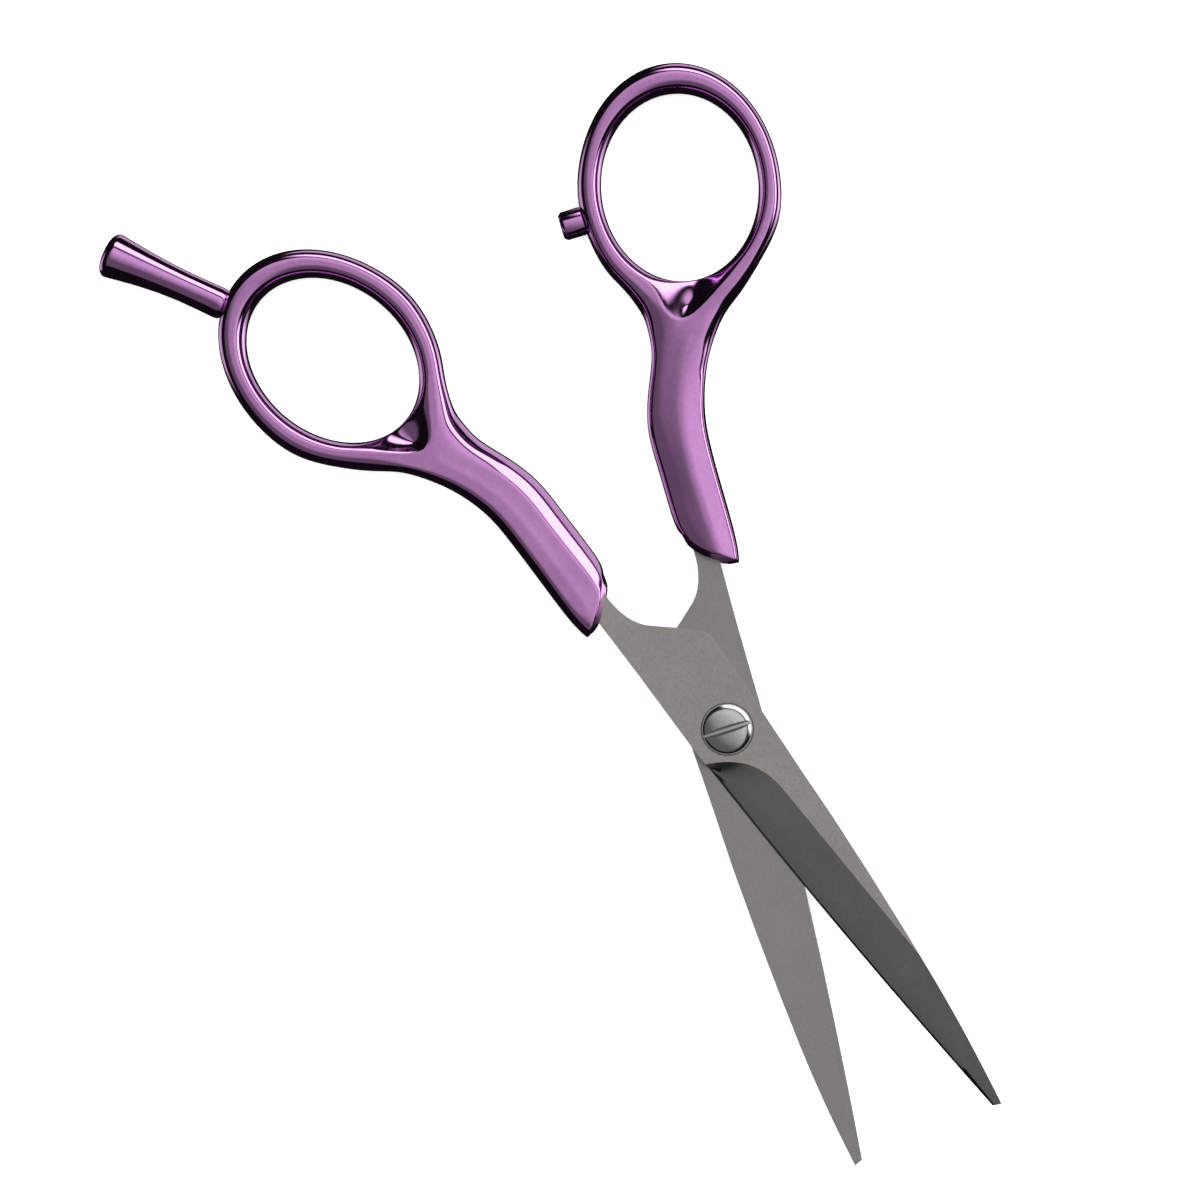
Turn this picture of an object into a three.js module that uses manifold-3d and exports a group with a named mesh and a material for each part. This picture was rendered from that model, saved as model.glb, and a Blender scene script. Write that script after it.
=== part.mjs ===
// Hair cutting shears with plated plastic handles, a slotted tension screw, a screw-in
// finger rest and a push-in bumper. Units are millimetres, +Z is up.
//
// The origin is on the pivot axis, on the plane that the shears lie on. +Y runs to the still
// blade's tip and +X to the side of the finger ring. The two halves are one design: the moving
// half is the still half turned over about the Y axis, at the height of the joint plane, and
// then opened about the pivot.

import * as THREE from 'three';
import * as BufferGeometryUtils from 'three/addons/utils/BufferGeometryUtils.js';
import Module from 'manifold-3d';

const wasm = await Module();
wasm.setup();

// ---------------------------------------------------------------- driving dimensions

const { degToRad } = THREE.MathUtils;

const OPEN_ANGLE = degToRad(18.8); // how far the moving half stands open at rest

const HANDLE_THICKNESS = 7;
const JOINT_Z = HANDLE_THICKNESS / 2; // the plane between the two blades
const BLADE_GAP = 0.1; // between the blades' inner faces
const BLADE_THICKNESS = 2.2;
const FIT_GAP = 0.3; // around a tang in its handle

const BLADE_LENGTH = 68.55; // pivot to the still blade's tip
const MOVING_BLADE_LENGTH = 67.2;
const TANG_END_Y = -43;
const TANG_INNER_X = 3.0;
const TANG_OUTER_X = 6.2;

const EDGE_THICKNESS = 0.35; // what the ground bevel leaves at the cutting edge
const BEVEL_WIDTH = 6.3; // across the ground face, from the edge to the full thickness
const HEEL_END_Y = 2.3; // where the ground face runs out behind the cutting edge
const GROUND_MARGIN = 3; // the grinding cut runs this far past the outline

const HANDLE_BEVEL = 1.0;
const CURVE_STEPS = 12;
const ROUND_STEPS = 36;

const FINGER_RING = {
  centre: [15.32, -77.77], across: 14.75, along: 18.9, tilt: 13.7,
  holeCentre: [15.46, -78.18], holeAcross: 10.85, holeAlong: 13.89, holeTilt: 14.9,
  shankInner: 0.85, neck: 5.2, outerFlank: [10, -53, 17.5, -59],
};
const THUMB_RING = {
  centre: [16.49, -78.2], across: 15.04, along: 18.75, tilt: 12.1,
  holeCentre: [16.62, -78.55], holeAcross: 11.61, holeAlong: 13.84, holeTilt: 12.6,
  shankInner: 1.45, neck: 6.0, outerFlank: [10.1, -53, 18.3, -58.8],
};
const RING_OUTER_JOIN = 27; // degrees round the ring where the outer flank meets it
const RING_INNER_JOIN = 145; // and where the inner flank does

const PIVOT = {
  headRadius: 3.65, headBottom: 5.2, headRim: 6.2, headTop: 6.5,
  slotWidth: 1.2, slotDepth: 0.7, slotAngle: 162,
  recessRadius: 3.95, recessDepth: 1.15,
  shoulderRadius: 2.0, threadRadius: 1.5, threadBottom: 1.4,
  bushRadius: 2.5, bushBore: 2.08, flangeRadius: 3.5, flangeThickness: 0.3,
  holeRadius: 2.6,
  springInner: 2.2, springOuter: 3.4, springThickness: 0.12, springRise: 0.1,
  nutFlangeRadius: 4.5, nutFlangeThickness: 1.15, nutRadius: 3.0, nutTop: 3.3,
  nutThreadRadius: 1.58, nutThreadBottom: 1.0,
};
const HEX_SIDES = 6; // the nut's body is keyed in the blade by its six sides
const PIVOT_GAP = 0.08;

const REST = {
  base: [24.0, -94.6], angle: -59.5, length: 19, baseRadius: 2.45, waistRadius: 2.3,
  endRadius: 3.5, crown: 0.8,
  boreRadius: 1.06, boreDepth: 6.5,
  studRadius: 1.0, studInRest: 6.0, studInRing: 2.9,
  insertRadius: 1.7, insertTop: 0.45, insertLength: 2.8, insertHole: 1.8,
};

const BUMPER = {
  y: -78, ringSurfaceX: 0.95, endX: -1.9, radius: 2.15, chamfer: 0.5,
  stemRadius: 1.2, stemEndX: 3.3, socketRadius: 1.3, socketEndX: 3.6,
};

const COLOURS = {
  steel: 0x8c8884, plating: 0x8f5f97, screw: 0xc8c8ca, brass: 0xb99545, nylon: 0xe8e4da,
};

// ---------------------------------------------------------------- materials

const bladeSteel = new THREE.MeshStandardMaterial({
  color: COLOURS.steel, roughness: 0.38, metalness: 1,
});
const polishedSteel = new THREE.MeshStandardMaterial({
  color: COLOURS.screw, roughness: 0.18, metalness: 1,
});
const purplePlating = new THREE.MeshStandardMaterial({
  color: COLOURS.plating, roughness: 0.12, metalness: 0.9,
});
const brass = new THREE.MeshStandardMaterial({
  color: COLOURS.brass, roughness: 0.3, metalness: 1,
});
const nylon = new THREE.MeshStandardMaterial({
  color: COLOURS.nylon, roughness: 0.55, metalness: 0,
});

// ---------------------------------------------------------------- solids

function solidOf(geometry) {
  const bare = geometry.clone();
  bare.deleteAttribute('normal');
  bare.deleteAttribute('uv');
  const merged = BufferGeometryUtils.mergeVertices(bare, 1e-4);
  return new wasm.Manifold(new wasm.Mesh({
    numProp: 3,
    vertProperties: merged.attributes.position.array,
    triVerts: new Uint32Array(merged.index.array),
  }));
}

function geometryOf(solid) {
  const mesh = solid.getMesh();
  const geometry = new THREE.BufferGeometry();
  geometry.setAttribute('position', new THREE.BufferAttribute(mesh.vertProperties, 3));
  geometry.setIndex(new THREE.BufferAttribute(mesh.triVerts, 1));
  geometry.computeVertexNormals();
  return geometry;
}

function cut(geometry, ...cutters) {
  return geometryOf(cutters.reduce((body, cutter) => body.subtract(solidOf(cutter)), solidOf(geometry)));
}

function join(geometry, ...others) {
  return geometryOf(others.reduce((body, other) => body.add(solidOf(other)), solidOf(geometry)));
}

// A closed solid of revolution about Z, from the axis out along [radius, z] points and back.
function turned(profile, steps = ROUND_STEPS) {
  const points = profile.map(([radius, z]) => new THREE.Vector2(radius, z));
  return new THREE.LatheGeometry(points, steps).rotateX(Math.PI / 2);
}

// A round bar about Z between two heights.
function bar(radius, bottom, top, steps = ROUND_STEPS) {
  const height = top - bottom;
  const geometry = new THREE.CylinderGeometry(radius, radius, height, steps);
  return geometry.rotateX(Math.PI / 2).translate(0, 0, bottom + height / 2);
}

// A flat plate of an outline between two heights.
function plate(shape, bottom, top) {
  const geometry = new THREE.ExtrudeGeometry(shape, {
    depth: top - bottom, bevelEnabled: false, curveSegments: 12,
  });
  return geometry.translate(0, 0, bottom);
}

function vectors(points) {
  return points.map(([x, y]) => new THREE.Vector2(x, y));
}

function mesh(name, geometry, material) {
  const made = new THREE.Mesh(geometry, material);
  made.name = name;
  return made;
}

// ---------------------------------------------------------------- blades

// The outline runs from the tip down the cutting edge and the outer side of the tang, and back
// up the inner side of the tang, the shoulder behind the pivot and the spine.
function bladeOutline(length) {
  const edgeHeel = [5.5, 3.3];
  const edgeBow = [4.0, 35.5];
  const tipWidth = 1.15;
  const tipEdge = [0.5, length - 1.1];
  const shoulder = [-5.95, -13.3];
  const shoulderRound = 0.6;
  const shape = new THREE.Shape();
  shape.moveTo(...tipEdge);
  shape.quadraticCurveTo(...edgeBow, ...edgeHeel);
  shape.lineTo(5.75, 0);
  shape.lineTo(5.95, -14);
  shape.lineTo(TANG_OUTER_X, -22.4);
  shape.lineTo(TANG_OUTER_X, TANG_END_Y);
  shape.lineTo(TANG_INNER_X, TANG_END_Y);
  shape.lineTo(TANG_INNER_X, -25.5);
  shape.quadraticCurveTo(2.7, -21.4, 0.7, -19.4);
  shape.quadraticCurveTo(-1.1, -17.8, -2.9, -16.3);
  shape.lineTo(shoulder[0] + shoulderRound, shoulder[1] - shoulderRound);
  shape.quadraticCurveTo(...shoulder, shoulder[0] - 0.04, shoulder[1] + shoulderRound);
  shape.lineTo(-6.0, -6.7);
  shape.lineTo(-5.5, 6.0);
  shape.splineThru(vectors([[-4.45, 28], [-3.3, 46], [-2.95, 52], [-1.75, 61],
    [tipEdge[0] - tipWidth, length]]));
  shape.lineTo(tipEdge[0] - 0.35, length);
  return shape;
}

// What the grinding wheel takes off the outer face: a wedge along the cutting edge, which ends
// behind the pivot in the wheel's round run-out.
function groundFaceCut(length, bottom, top) {
  const heel = new THREE.Vector2(5.5, 3.3);
  const tip = new THREE.Vector2(0.5, length);
  const slope = (BLADE_THICKNESS - EDGE_THICKNESS) / BEVEL_WIDTH;
  const reach = length + GROUND_MARGIN;
  const wedge = new THREE.Shape(vectors([
    [GROUND_MARGIN, bottom + EDGE_THICKNESS - GROUND_MARGIN * slope],
    [GROUND_MARGIN, top + GROUND_MARGIN],
    [-2 * BEVEL_WIDTH, top + GROUND_MARGIN],
    [-2 * BEVEL_WIDTH, bottom + EDGE_THICKNESS + 2 * BEVEL_WIDTH * slope],
  ]));
  const lean = Math.atan2(heel.x - tip.x, tip.y - heel.y);
  const along = new THREE.ExtrudeGeometry(wedge, { depth: reach + GROUND_MARGIN, bevelEnabled: false })
    .rotateX(Math.PI / 2)
    .translate(0, reach, 0)
    .rotateZ(lean)
    .translate(heel.x, heel.y, 0);
  const region = new THREE.Shape();
  region.moveTo(BEVEL_WIDTH + GROUND_MARGIN, HEEL_END_Y - 0.6);
  region.lineTo(5.7, HEEL_END_Y);
  region.bezierCurveTo(1.6, 4.2, -1.4, 6.6, -1.6, 13);
  region.lineTo(-3.4, 43);
  region.lineTo(-BEVEL_WIDTH, reach);
  region.lineTo(BEVEL_WIDTH + GROUND_MARGIN, reach);
  const column = plate(region, bottom - GROUND_MARGIN, top + 2 * GROUND_MARGIN);
  return geometryOf(solidOf(along).intersect(solidOf(column)));
}

function blade(length, ...holes) {
  const bottom = JOINT_Z + BLADE_GAP / 2;
  const top = bottom + BLADE_THICKNESS;
  return cut(plate(bladeOutline(length), bottom, top), groundFaceCut(length, bottom, top), ...holes);
}

function stillBlade() {
  const top = JOINT_Z + BLADE_GAP / 2 + BLADE_THICKNESS;
  const through = bar(PIVOT.holeRadius, 0, HANDLE_THICKNESS);
  const recess = bar(PIVOT.recessRadius, top - PIVOT.recessDepth, HANDLE_THICKNESS);
  return mesh('still_blade', blade(BLADE_LENGTH, through, recess), bladeSteel);
}

// The nut's hexagonal hole is made with the blade still in the still half's place.
function movingBlade() {
  const hexagon = bar(PIVOT.nutRadius + PIVOT_GAP, 0, HANDLE_THICKNESS, HEX_SIDES);
  return mesh('moving_blade', blade(MOVING_BLADE_LENGTH, hexagon), bladeSteel);
}

// ---------------------------------------------------------------- handles

// The point of the ring's outline at an angle round it.
function ringPoint({ centre, across, along, tilt }, angle) {
  const ellipse = new THREE.EllipseCurve(...centre, across, along, 0, 2 * Math.PI, false, degToRad(tilt));
  return ellipse.getPoint(angle / 360).toArray();
}

function handleOutline(ring) {
  const { centre, across, along, tilt, shankInner, neck } = ring;
  const shape = new THREE.Shape();
  shape.moveTo(shankInner, -29.4);
  shape.quadraticCurveTo(shankInner, -27, shankInner + 2, -25.6);
  shape.lineTo(6.9, -22.5);
  shape.lineTo(8.2, -22.05);
  shape.lineTo(9.05, -22.6);
  shape.lineTo(9.4, -23.9);
  shape.lineTo(9.75, -42);
  shape.bezierCurveTo(...ring.outerFlank, ...ringPoint(ring, RING_OUTER_JOIN));
  shape.absellipse(...centre, across, along, degToRad(RING_OUTER_JOIN), degToRad(RING_INNER_JOIN - 360),
    true, degToRad(tilt));
  shape.bezierCurveTo(2.4, -67.2, neck + 0.05, -63.5, neck, -60);
  shape.bezierCurveTo(neck, -55, shankInner + 0.1, -49.5, shankInner, -41);
  shape.lineTo(shankInner, -29.4);
  const hole = new THREE.Path();
  hole.absellipse(...ring.holeCentre, ring.holeAcross, ring.holeAlong, 0, 2 * Math.PI, false,
    degToRad(ring.holeTilt));
  shape.holes.push(hole);
  return shape;
}

function tangPocket() {
  const bottom = JOINT_Z + BLADE_GAP / 2 - FIT_GAP;
  const top = bottom + BLADE_THICKNESS + 2 * FIT_GAP;
  const outline = new THREE.Shape(vectors([
    [TANG_INNER_X - FIT_GAP, TANG_END_Y - FIT_GAP],
    [TANG_OUTER_X + FIT_GAP, TANG_END_Y - FIT_GAP],
    [TANG_OUTER_X + FIT_GAP, -20],
    [TANG_INNER_X - FIT_GAP, -20],
  ]));
  return plate(outline, bottom, top);
}

// The dished triangle between the shank and the ring, in both faces.
function junctionDishes() {
  const width = 3.4;
  const reach = 4.6;
  const depth = 1.0;
  const centre = [13.9, -62.2];
  return [0, HANDLE_THICKNESS].map((z) => new THREE.SphereGeometry(1, 16, 8)
    .scale(width, reach, depth)
    .translate(...centre, z));
}

function handle(ring, ...cutters) {
  const moulding = new THREE.ExtrudeGeometry(handleOutline(ring), {
    depth: HANDLE_THICKNESS - 2 * HANDLE_BEVEL,
    bevelThickness: HANDLE_BEVEL,
    bevelSize: HANDLE_BEVEL,
    bevelOffset: -HANDLE_BEVEL,
    bevelSegments: 2,
    curveSegments: CURVE_STEPS,
  }).translate(0, 0, HANDLE_BEVEL);
  return cut(moulding, tangPocket(), ...junctionDishes(), ...cutters);
}

function fingerHandle() {
  const insertHole = onRestAxis(bar(REST.insertHole, -REST.insertLength - REST.insertTop - 0.15, 2));
  return mesh('finger_handle', handle(FINGER_RING, insertHole), purplePlating);
}

function thumbHandle() {
  const socket = onBumperAxis(bar(BUMPER.socketRadius, -BUMPER.socketEndX, 2));
  return mesh('thumb_handle', handle(THUMB_RING, socket), purplePlating);
}

// ---------------------------------------------------------------- finger rest

// Moves a piece made about Z, with +Z outward from the ring, onto the finger rest's axis.
function onRestAxis(geometry) {
  return geometry
    .rotateY(Math.PI / 2)
    .rotateZ(degToRad(REST.angle))
    .translate(...REST.base, JOINT_Z);
}

function fingerRest() {
  const horn = turned([
    [0, 0], [REST.baseRadius - 0.25, 0], [REST.baseRadius, 0.25], [REST.waistRadius, 5],
    [REST.waistRadius + 0.15, 9], [REST.waistRadius + 0.5, 12.5], [REST.endRadius - 0.3, REST.length - 2],
    [REST.endRadius, REST.length - REST.crown - 0.3], [REST.endRadius - 0.3, REST.length - REST.crown],
    [REST.endRadius * 0.6, REST.length - 0.25], [0, REST.length],
  ]);
  return mesh('finger_rest', onRestAxis(cut(horn, bar(REST.boreRadius, -1, REST.boreDepth))), purplePlating);
}

function fingerRestStud() {
  return mesh('finger_rest_stud', onRestAxis(bar(REST.studRadius, -REST.studInRing, REST.studInRest, 24)),
    polishedSteel);
}

function fingerRestInsert() {
  const sleeve = bar(REST.insertRadius, -REST.insertTop - REST.insertLength, -REST.insertTop, 32);
  const thread = bar(REST.studRadius + 0.06, -2 * REST.insertLength, 1, 24);
  return mesh('finger_rest_insert', onRestAxis(cut(sleeve, thread)), brass);
}

// ---------------------------------------------------------------- bumper

// Moves a piece made about Z, with +Z outward from the ring, onto the bumper's axis.
function onBumperAxis(geometry) {
  return geometry.rotateY(-Math.PI / 2).translate(0, BUMPER.y, JOINT_Z);
}

function bumper() {
  const { radius, chamfer, stemRadius } = BUMPER;
  const stub = turned([
    [0, -BUMPER.stemEndX], [stemRadius, -BUMPER.stemEndX], [stemRadius, -BUMPER.ringSurfaceX],
    [radius, -BUMPER.ringSurfaceX], [radius, -BUMPER.endX - chamfer], [radius - chamfer, -BUMPER.endX],
    [0, -BUMPER.endX],
  ], 32);
  return mesh('bumper', onBumperAxis(stub), purplePlating);
}

// ---------------------------------------------------------------- pivot

function pivotScrew() {
  const { headRadius, headBottom, headRim, headTop, shoulderRadius, threadRadius } = PIVOT;
  const body = turned([
    [0, PIVOT.threadBottom], [threadRadius, PIVOT.threadBottom], [threadRadius, JOINT_Z + BLADE_GAP / 2],
    [shoulderRadius, JOINT_Z + BLADE_GAP / 2], [shoulderRadius, headBottom], [headRadius, headBottom],
    [headRadius, headRim], [headRadius * 0.9, headRim + (headTop - headRim) * 0.6], [0, headTop],
  ]);
  const slot = new THREE.BoxGeometry(3 * headRadius, PIVOT.slotWidth, 2 * PIVOT.slotDepth)
    .rotateZ(degToRad(PIVOT.slotAngle))
    .translate(0, 0, headTop);
  return mesh('pivot_screw', cut(body, slot), polishedSteel);
}

// A dished ring: the spring that keeps the blades pressed together.
function springWasher() {
  const { springInner, springOuter, springThickness, springRise } = PIVOT;
  const top = PIVOT.headBottom - 0.03;
  const outerTop = top - springRise;
  return mesh('spring_washer', turned([
    [springInner, top - springThickness], [springOuter, outerTop - springThickness],
    [springOuter, outerTop], [springInner, top], [springInner, top - springThickness],
  ]), polishedSteel);
}

// A nylon sleeve round the screw's shoulder, whose flange lies in the recess under the head.
function pivotBush() {
  const { bushRadius, bushBore, flangeRadius, flangeThickness } = PIVOT;
  const floor = JOINT_Z + BLADE_GAP / 2 + BLADE_THICKNESS - PIVOT.recessDepth;
  const flangeBottom = floor + 0.03;
  const flangeTop = flangeBottom + flangeThickness;
  const bottom = JOINT_Z + BLADE_GAP;
  return mesh('pivot_bush', turned([
    [bushBore, bottom], [bushRadius, bottom], [bushRadius, flangeBottom], [flangeRadius, flangeBottom],
    [flangeRadius, flangeTop], [bushBore, flangeTop], [bushBore, bottom],
  ]), nylon);
}

// A blind nut: a round flange that lies under the moving blade, and a hexagonal body in it.
function pivotNut() {
  const flange = bar(PIVOT.nutFlangeRadius, 0, PIVOT.nutFlangeThickness);
  const body = bar(PIVOT.nutRadius, PIVOT.nutFlangeThickness / 2, PIVOT.nutTop, HEX_SIDES)
    .rotateZ(Math.PI - OPEN_ANGLE);
  const thread = bar(PIVOT.nutThreadRadius, PIVOT.nutThreadBottom, HANDLE_THICKNESS);
  return mesh('pivot_nut', cut(join(flange, body), thread), polishedSteel);
}

// ---------------------------------------------------------------- assembly

const stillHalf = new THREE.Group();
stillHalf.add(stillBlade(), fingerHandle(), fingerRestInsert(), fingerRestStud(), fingerRest());

const turnedOver = new THREE.Group();
turnedOver.rotation.y = Math.PI;
turnedOver.position.z = 2 * JOINT_Z;
turnedOver.add(movingBlade(), thumbHandle(), bumper());

const movingHalf = new THREE.Group();
movingHalf.rotation.z = -OPEN_ANGLE;
movingHalf.add(turnedOver);

const pivot = new THREE.Group();
pivot.add(pivotScrew(), springWasher(), pivotBush(), pivotNut());

const shears = new THREE.Group();
shears.add(stillHalf, movingHalf, pivot);

export default shears;
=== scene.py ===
import math

import bmesh
import bpy
from mathutils import Matrix, Vector


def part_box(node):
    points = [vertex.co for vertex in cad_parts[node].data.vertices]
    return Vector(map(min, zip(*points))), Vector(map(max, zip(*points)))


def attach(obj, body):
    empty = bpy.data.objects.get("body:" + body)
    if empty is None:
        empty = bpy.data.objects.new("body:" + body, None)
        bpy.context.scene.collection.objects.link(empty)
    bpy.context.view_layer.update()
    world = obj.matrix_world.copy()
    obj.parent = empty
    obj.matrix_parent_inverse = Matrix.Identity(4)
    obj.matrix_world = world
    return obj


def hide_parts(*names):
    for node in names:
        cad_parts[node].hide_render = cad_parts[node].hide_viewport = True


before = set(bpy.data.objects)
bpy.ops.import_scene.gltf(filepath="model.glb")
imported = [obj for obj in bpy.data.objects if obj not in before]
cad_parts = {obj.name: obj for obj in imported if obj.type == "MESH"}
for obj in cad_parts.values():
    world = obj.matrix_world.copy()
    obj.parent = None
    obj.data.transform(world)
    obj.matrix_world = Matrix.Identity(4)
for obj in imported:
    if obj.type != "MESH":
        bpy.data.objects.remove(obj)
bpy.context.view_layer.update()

# Hair cutting shears: stamped and ground stainless blades, handles and screw-in finger rest of
# purple plated plastic, a slotted tension screw. Sizes below are in millimetres. The origin is on
# the pivot axis, on the plane that the shears lie on; +Y is the still blade's tip, +Z is up.
#
# Both halves are drawn lying in the still half's place. The moving half is then turned over
# about Y at the height of the joint and opened about the pivot.

MM = 0.001
OPEN_ANGLE = math.radians(18.8)

HANDLE_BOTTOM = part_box("finger_handle")[0].z / MM
HANDLE_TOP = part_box("finger_handle")[1].z / MM
JOINT_Z = (HANDLE_BOTTOM + HANDLE_TOP) / 2
BLADE_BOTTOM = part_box("still_blade")[0].z / MM
BLADE_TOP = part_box("still_blade")[1].z / MM
STILL_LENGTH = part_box("still_blade")[1].y / MM
MOVING_TIP_SETBACK = 1.35
MOVING_LENGTH = STILL_LENGTH - MOVING_TIP_SETBACK

OPENED = Matrix.Rotation(-OPEN_ANGLE, 4, "Z")
TURNED_OVER = Matrix.Translation((0, 0, 2 * JOINT_Z)) @ Matrix.Rotation(math.pi, 4, "Y")
STILL = Matrix.Identity(4)
MOVING = OPENED @ TURNED_OVER


# ---------------------------------------------------------------- small tools

def linear(code):
    """An sRGB hex colour as linear RGBA."""
    channels = [int(code[i:i + 2], 16) / 255 for i in (1, 3, 5)]
    return [c / 12.92 if c < 0.04045 else ((c + 0.055) / 1.055) ** 2.4 for c in channels] + [1.0]


def add_node(tree, kind, settings=None, inputs=None):
    """Adds a node. An input is a value, or another node's output socket."""
    node = tree.nodes.new(kind)
    for name, value in (settings or {}).items():
        setattr(node, name, value)
    for name, value in (inputs or {}).items():
        if isinstance(value, bpy.types.NodeSocket):
            tree.links.new(value, node.inputs[name])
        else:
            node.inputs[name].default_value = value
    return node


def combined(tree, operation, *values):
    """The sum, product or difference of several values, taken from left to right."""
    result = values[0]
    for value in values[1:]:
        result = add_node(tree, "ShaderNodeMath", {"operation": operation},
                          {0: result, 1: value}).outputs["Value"]
    return result


def bezier(start, *rest, steps=8):
    """Points of a quadratic or cubic curve, without its first point."""
    points = [Vector(p) for p in (start, *rest)]
    made = []
    for i in range(1, steps + 1):
        level = points
        t = i / steps
        while len(level) > 1:
            level = [a.lerp(b, t) for a, b in zip(level, level[1:])]
        made.append(level[0])
    return made


def finish_piece(name, bm, materials, place=STILL, smooth_angle=30):
    """Turns a bmesh in millimetres into a piece in its place, smooth across its gentle edges."""
    bmesh.ops.transform(bm, matrix=Matrix.Scale(MM, 4) @ place, verts=bm.verts)
    sharp = math.radians(smooth_angle)
    for face in bm.faces:
        face.smooth = True
    for edge in bm.edges:
        finishes = {face.material_index for face in edge.link_faces}
        edge.smooth = len(finishes) == 1 and edge.is_manifold and edge.calc_face_angle() < sharp
    mesh = bpy.data.meshes.new(name)
    bm.to_mesh(mesh)
    bm.free()
    for material in materials:
        mesh.materials.append(material)
    piece = bpy.data.objects.new(name, mesh)
    bpy.context.scene.collection.objects.link(piece)
    return piece


def stands_for(piece, node, body):
    """The piece is seen in place of the CAD node and moves with the body."""
    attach(piece, body)
    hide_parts(node)


def turned(profile, steps=72):
    """A solid turned about Z, from the axis out along (radius, z) points and back to it."""
    bm = bmesh.new()
    chain = [bm.verts.new((radius, 0, z)) for radius, z in profile]
    edges = [bm.edges.new(pair) for pair in zip(chain, chain[1:])]
    bmesh.ops.spin(bm, geom=chain + edges, axis=(0, 0, 1), cent=(0, 0, 0), angle=2 * math.pi,
                   steps=steps, use_merge=True, use_duplicate=False)
    bmesh.ops.remove_doubles(bm, verts=bm.verts, dist=1e-4)
    bmesh.ops.recalc_face_normals(bm, faces=bm.faces)
    return bm


def rounded(profile, radius, steps=4):
    """The same profile with its inner corners rounded, as an edge that has been deburred."""
    points = [Vector(p) for p in profile]
    made = [points[0]]
    for before, corner, after in zip(points, points[1:], points[2:]):
        reach_in = min(radius, (before - corner).length / 2)
        reach_out = min(radius, (after - corner).length / 2)
        start = corner + (before - corner).normalized() * reach_in
        end = corner + (after - corner).normalized() * reach_out
        made += [start] + bezier(start, corner, end, steps=steps)
    return made + [points[-1]]


# ---------------------------------------------------------------- materials

def object_pattern(tree, kind, settings, inputs):
    """A texture node laid out in the piece's own metres."""
    place = add_node(tree, "ShaderNodeTexCoord")
    return add_node(tree, kind, settings, {"Vector": place.outputs["Object"], **inputs})


def per_metre(size_mm):
    """The scale that gives a noise or cell pattern features of this size."""
    return 1 / (size_mm * MM)


def new_material(name):
    material = bpy.data.materials.new(name)
    material.use_nodes = True
    tree = material.node_tree
    tree.nodes.clear()
    output = add_node(tree, "ShaderNodeOutputMaterial")
    shader = add_node(tree, "ShaderNodeBsdfPrincipled")
    tree.links.new(shader.outputs["BSDF"], output.inputs["Surface"])
    return material, tree, shader


def mixed(tree, factor, low, high):
    """A colour between two hex colours."""
    return add_node(tree, "ShaderNodeMix", {"data_type": "RGBA"},
                    {"Factor": factor, "A": linear(low), "B": linear(high)}).outputs["Result"]


def spread(tree, value, low, high, inputs=None):
    """Stretches a value to a range. It is taken to run from 0 to 1 unless the inputs say more."""
    settings = {"Value": value, "To Min": low, "To Max": high, **(inputs or {})}
    return add_node(tree, "ShaderNodeMapRange", {}, settings).outputs["Result"]


def steel(name, dark, light, roughness, grain_mm, grain_depth):
    """Stainless steel. The finish is in the size and depth of its grain and in its roughness."""
    material, tree, shader = new_material(name)
    grain = object_pattern(tree, "ShaderNodeTexNoise", {},
                           {"Scale": per_metre(grain_mm), "Detail": 3.0, "Roughness": 0.7})
    clouds = object_pattern(tree, "ShaderNodeTexNoise", {}, {"Scale": per_metre(9), "Detail": 2.0})
    grain_and_clouds = combined(tree, "ADD", spread(tree, grain.outputs["Fac"], 0.0, 0.75),
                                spread(tree, clouds.outputs["Fac"], 0.0, 0.25))
    colour = mixed(tree, grain_and_clouds, dark, light)
    tree.links.new(colour, shader.inputs["Base Color"])
    shader.inputs["Metallic"].default_value = 1.0
    rough = spread(tree, grain.outputs["Fac"], roughness - 0.06, roughness + 0.06)
    tree.links.new(rough, shader.inputs["Roughness"])
    bump = add_node(tree, "ShaderNodeBump", {}, {"Strength": 1.0, "Distance": grain_depth * MM,
                                                 "Height": grain.outputs["Fac"]})
    tree.links.new(bump.outputs["Normal"], shader.inputs["Normal"])
    return material


def purple_plating():
    """Purple chrome on moulded ABS: a mirror tinted by the lacquer over the chrome, a little cloudy,
    with the soft waviness of the moulding under it."""
    material, tree, shader = new_material("purple_plated_abs")
    clouds = object_pattern(tree, "ShaderNodeTexNoise", {}, {"Scale": per_metre(7), "Detail": 2.0})
    haze = object_pattern(tree, "ShaderNodeTexNoise", {}, {"Scale": per_metre(0.6), "Detail": 4.0})
    blotches = combined(tree, "ADD", spread(tree, clouds.outputs["Fac"], 0.0, 0.5),
                        spread(tree, haze.outputs["Fac"], 0.0, 0.5))
    colour = mixed(tree, blotches, "#bd7cc6", "#e0a8e2")
    tree.links.new(colour, shader.inputs["Base Color"])
    shader.inputs["Metallic"].default_value = 1.0
    tree.links.new(spread(tree, haze.outputs["Fac"], 0.04, 0.11), shader.inputs["Roughness"])
    shader.inputs["Coat Weight"].default_value = 0.25
    shader.inputs["Coat Roughness"].default_value = 0.03
    waves = object_pattern(tree, "ShaderNodeTexNoise", {}, {"Scale": per_metre(3.5), "Detail": 1.0})
    bump = add_node(tree, "ShaderNodeBump", {}, {"Strength": 1.0, "Distance": 0.012 * MM,
                                                 "Height": waves.outputs["Fac"]})
    tree.links.new(bump.outputs["Normal"], shader.inputs["Normal"])
    return material


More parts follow.
